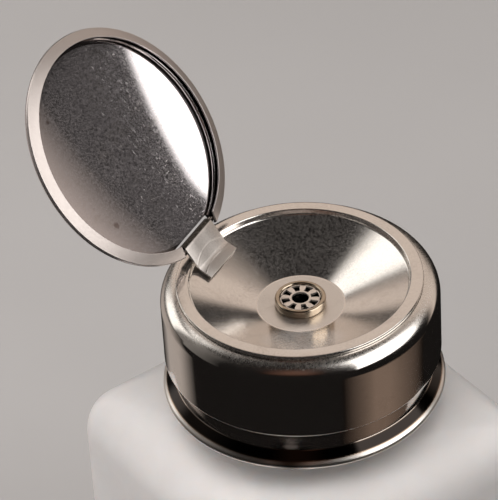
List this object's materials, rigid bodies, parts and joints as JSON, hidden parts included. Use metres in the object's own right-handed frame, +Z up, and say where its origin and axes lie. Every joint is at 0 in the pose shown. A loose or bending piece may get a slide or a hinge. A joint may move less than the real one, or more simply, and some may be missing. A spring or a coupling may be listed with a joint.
{
  "type": "pump dispenser bottle",
  "caption": "Square frosted pump bottle with a screw-on metal collar, a dished press head with a star outlet and a hinged flip lid that stands open.",
  "frame": {"origin": "centre of the bottle's flat base, where it rests", "axes": "+Z up along the pump's axis, +X and +Y square to the bottle's flat sides; the lid's hinge lies about 116 degrees from +X"},
  "size_m": [0.068, 0.0792, 0.1532],
  "materials": {
    "frosted_plastic": "frosted translucent white",
    "gasket_rubber": "matte elastomer",
    "insert_plastic": "moulded white",
    "collar_steel": "polished, with fine wear",
    "housing_plastic": "moulded natural",
    "tube_plastic": "extruded natural",
    "inlet_ball_steel": "ground and polished",
    "cage_plastic": "moulded white",
    "guide_plastic": "moulded white",
    "piston_plastic": "moulded natural",
    "seal_rubber": "matte elastomer",
    "spring_steel": "drawn wire",
    "stem_plastic": "moulded white",
    "washer_plastic": "flat, matte",
    "nozzle_steel": "turned, slightly golden",
    "outlet_ball_steel": "ground and polished",
    "star_steel": "pressed",
    "dish_steel": "polished, finely scratched",
    "skirt_steel": "polished",
    "strap_steel": "brushed along its length",
    "lid_steel": "polished, scratched and speckled inside",
    "pin_steel": "drawn wire"
  },
  "bodies": {
    "bottle": {"bottle_body": "frosted_plastic"},
    "gasket": {"neck_gasket": "gasket_rubber"},
    "closure": {"screw_collar": "collar_steel", "collar_insert": "insert_plastic", "pump_housing": "housing_plastic", "stem_guide": "guide_plastic", "valve_cage": "cage_plastic", "dip_tube": "tube_plastic"},
    "inlet_valve": {"inlet_ball": "inlet_ball_steel"},
    "plunger": {"piston": "piston_plastic", "piston_seal": "seal_rubber", "return_spring": "spring_steel"},
    "head": {"pump_stem": "stem_plastic", "dish": "dish_steel", "head_skirt": "skirt_steel", "dish_washer": "washer_plastic", "nozzle_body": "nozzle_steel", "nozzle_star": "star_steel", "hinge_strap": "strap_steel"},
    "outlet_valve": {"outlet_ball": "outlet_ball_steel"},
    "lid": {"flip_lid": "lid_steel", "hinge_pin": "pin_steel"}
  },
  "joints": [
    {"name": "closure_lift", "type": "slide", "parent": "bottle", "child": "gasket", "axis": [0, 0, 1], "range_m": [0, 0.006]},
    {"name": "closure_turn", "type": "hinge", "parent": "gasket", "child": "closure", "pos_m": [0, 0, 0.0997], "axis": [0, 0, 1], "range_deg": [0, 542]},
    {"name": "inlet_lift", "type": "slide", "parent": "closure", "child": "inlet_valve", "axis": [0, 0, 1], "range_m": [0, 0.0013]},
    {"name": "pump_press", "type": "slide", "parent": "closure", "child": "plunger", "axis": [0, 0, -1], "range_m": [0, 0.005], "stiffness_N_per_m": 600, "springref_m": -0.004, "deforming": ["return_spring"]},
    {"name": "head_swivel", "type": "hinge", "parent": "plunger", "child": "head", "pos_m": [0, 0, 0.1], "axis": [0, 0, 1], "continuous": true},
    {"name": "outlet_lift", "type": "slide", "parent": "head", "child": "outlet_valve", "axis": [0, 0, 1], "range_m": [0, 0.0012]},
    {"name": "lid_hinge", "type": "hinge", "parent": "head", "child": "lid", "pos_m": [-0.00919, 0.0191, 0.11868], "axis": [0.9011, 0.4337, 0], "range_deg": [0, 129.5]}
  ],
  "couplings": [
    {"joint": "closure_turn", "follows": "closure_lift", "rad_per_m": 1570.8}
  ]
}
